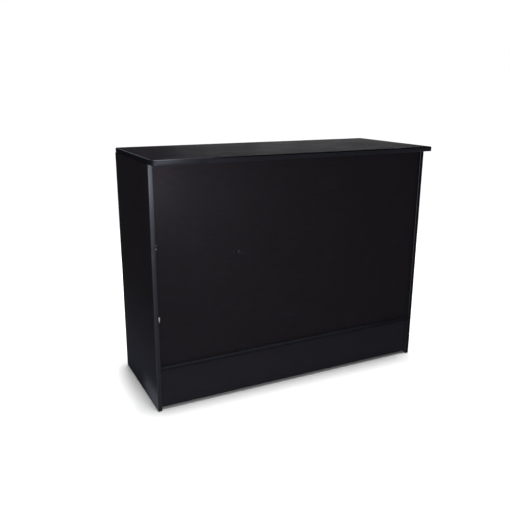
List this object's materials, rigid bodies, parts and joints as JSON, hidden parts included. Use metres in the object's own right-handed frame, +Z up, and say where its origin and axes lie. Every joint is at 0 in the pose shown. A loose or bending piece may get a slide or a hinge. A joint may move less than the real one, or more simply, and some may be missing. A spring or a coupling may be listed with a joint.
{
  "type": "trade show counter",
  "caption": "Black knock-down service counter with a flat overhanging top, solid front and ends, kick board, and an open back with a loose shelf on pins.",
  "frame": {"origin": "on the floor, under the middle of the top", "axes": "+X along the counter, to the right for someone who faces its front; the front faces -Y and the open back +Y; +Z up"},
  "size_m": [1.219, 0.508, 0.965],
  "materials": {
    "black_melamine": "satin black melamine on particleboard",
    "black_vinyl": "semi-gloss black vinyl T-molding",
    "zinc": "die-cast zinc",
    "plated_steel": "nickel-plated steel",
    "beech": "bare beech",
    "nylon": "moulded nylon"
  },
  "bodies": {
    "carcass": {"deck_board": "black_melamine", "deck_front_molding": "black_vinyl", "deck_left_front_cam": "zinc", "deck_left_front_cam_bolt": "plated_steel", "deck_left_rear_cam": "zinc", "deck_left_rear_cam_bolt": "plated_steel", "deck_rear_molding": "black_vinyl", "deck_right_front_cam": "zinc", "deck_right_front_cam_bolt": "plated_steel", "deck_right_rear_cam": "zinc", "deck_right_rear_cam_bolt": "plated_steel", "front_kick_board": "black_melamine", "front_kick_left_dowel": "beech", "front_kick_right_dowel": "beech", "front_panel": "black_melamine", "front_panel_left_lower_cam": "zinc", "front_panel_left_lower_cam_bolt": "plated_steel", "front_panel_left_upper_cam": "zinc", "front_panel_left_upper_cam_bolt": "plated_steel", "front_panel_right_lower_cam": "zinc", "front_panel_right_lower_cam_bolt": "plated_steel", "front_panel_right_upper_cam": "zinc", "front_panel_right_upper_cam_bolt": "plated_steel", "left_end_front_molding": "black_vinyl", "left_end_panel": "black_melamine", "left_end_rear_molding": "black_vinyl", "left_front_glide": "nylon", "left_front_shelf_pin": "plated_steel", "left_rear_glide": "nylon", "left_rear_shelf_pin": "plated_steel", "rear_kick_board": "black_melamine", "rear_kick_left_dowel": "beech", "rear_kick_right_dowel": "beech", "rear_rail": "black_melamine", "rear_rail_left_cam": "zinc", "rear_rail_left_cam_bolt": "plated_steel", "rear_rail_molding": "black_vinyl", "rear_rail_right_cam": "zinc", "rear_rail_right_cam_bolt": "plated_steel", "right_end_front_molding": "black_vinyl", "right_end_panel": "black_melamine", "right_end_rear_molding": "black_vinyl", "right_front_glide": "nylon", "right_front_shelf_pin": "plated_steel", "right_rear_glide": "nylon", "right_rear_shelf_pin": "plated_steel", "top_board": "black_melamine", "top_edge_molding": "black_vinyl", "top_left_front_cam": "zinc", "top_left_front_cam_bolt": "plated_steel", "top_left_rear_cam": "zinc", "top_left_rear_cam_bolt": "plated_steel", "top_right_front_cam": "zinc", "top_right_front_cam_bolt": "plated_steel", "top_right_rear_cam": "zinc", "top_right_rear_cam_bolt": "plated_steel"},
    "shelf": {"shelf_board": "black_melamine", "shelf_rear_molding": "black_vinyl"}
  },
  "joints": [
    {"name": "shelf_draw_out", "type": "slide", "parent": "carcass", "child": "shelf", "axis": [0, 1, 0], "range_m": [0, 0.44]}
  ]
}
